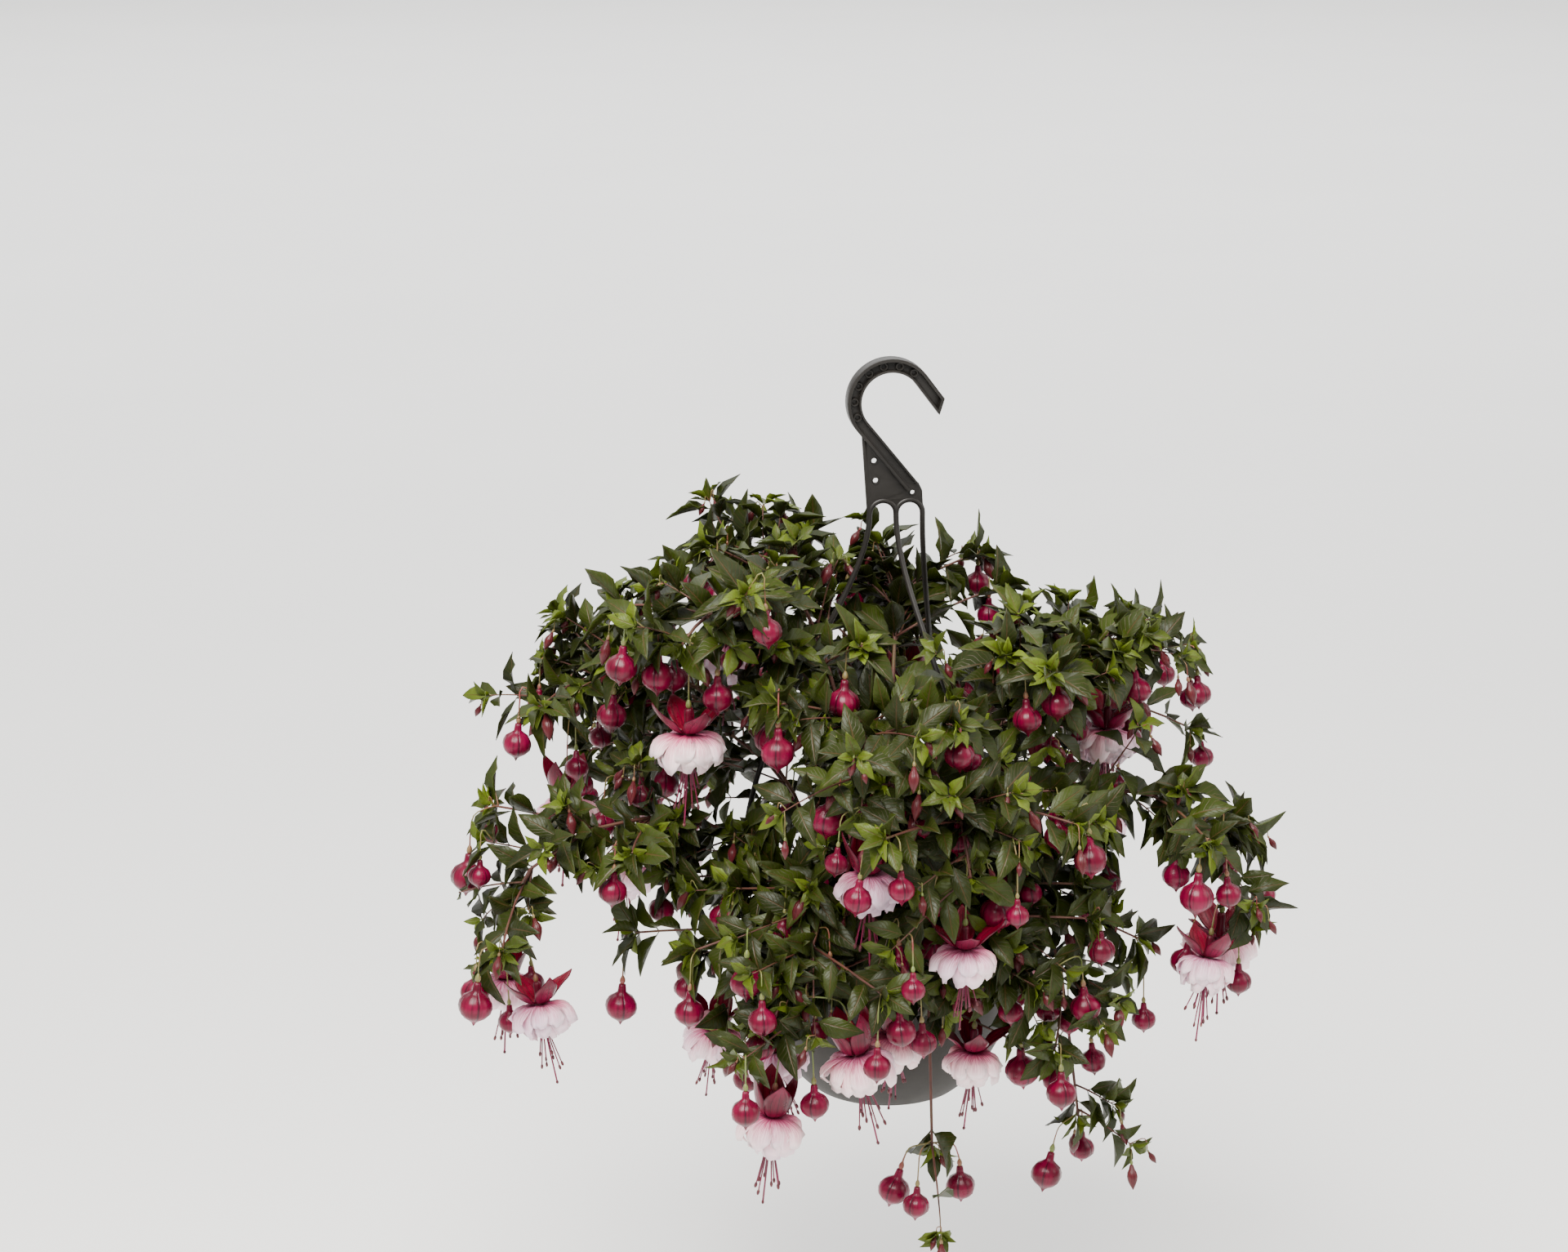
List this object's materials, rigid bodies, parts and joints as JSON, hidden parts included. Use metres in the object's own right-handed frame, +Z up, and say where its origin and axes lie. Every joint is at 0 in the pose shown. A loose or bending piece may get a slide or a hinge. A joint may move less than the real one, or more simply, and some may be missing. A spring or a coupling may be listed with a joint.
{
  "type": "fuchsia hanging basket",
  "caption": "Fuchsia in full bloom in a dark round plastic hanging pot on a moulded three-rod hanger with a rail hook.",
  "frame": {"origin": "the hook's seat: the point under the top of the hook's arc where a rail carries it, on the pot's axis", "axes": "+Z up along the pot's axis; the hanger's flat plate lies in the XZ plane; -Y is the front"},
  "size_m": [0.7374, 0.6656, 0.7374],
  "materials": {
    "pot_plastic": "matt, finely grained moulded plastic, dark warm grey",
    "hanger_plastic": "satin moulded plastic, near black",
    "soil": "rough dark potting soil",
    "leaf": "living leaves and stems, satin dark green with paler veins and red-brown stems",
    "sepal": "living flower buds and sepals, waxy crimson",
    "petal": "living petals, soft matt pale pink with magenta veins"
  },
  "bodies": {
    "root": {"pot": "pot_plastic", "soil": "soil", "hanger": "hanger_plastic", "shoot_01": "leaf", "shoot_02": "leaf", "shoot_03": "leaf", "shoot_04": "leaf", "shoot_05": "leaf", "shoot_06": "leaf", "shoot_07": "leaf", "shoot_08": "leaf", "shoot_09": "leaf", "shoot_10": "leaf", "shoot_11": "leaf", "shoot_12": "leaf", "shoot_13": "leaf", "shoot_14": "leaf", "shoot_15": "leaf", "shoot_16": "leaf", "shoot_17": "leaf", "shoot_18": "leaf", "shoot_19": "leaf", "spray_01": "sepal", "spray_02": "sepal", "spray_03": "sepal", "spray_04": "sepal", "spray_05": "sepal", "spray_06": "sepal", "spray_07": "sepal", "spray_08": "sepal", "spray_09": "sepal", "spray_10": "sepal", "spray_11": "sepal", "spray_12": "sepal", "spray_13": "sepal", "spray_14": "sepal", "spray_15": "sepal", "spray_16": "sepal", "corolla_01": "petal", "corolla_02": "petal", "corolla_03": "petal", "corolla_04": "petal", "corolla_05": "petal", "corolla_06": "petal", "corolla_07": "petal", "corolla_08": "petal", "corolla_09": "petal", "corolla_10": "petal", "corolla_11": "petal", "corolla_12": "petal", "corolla_13": "petal", "corolla_14": "petal", "corolla_15": "petal", "corolla_16": "petal", "corolla_17": "petal", "corolla_18": "petal", "corolla_19": "petal", "corolla_20": "petal", "corolla_21": "petal", "corolla_22": "petal"}
  },
  "joints": []
}
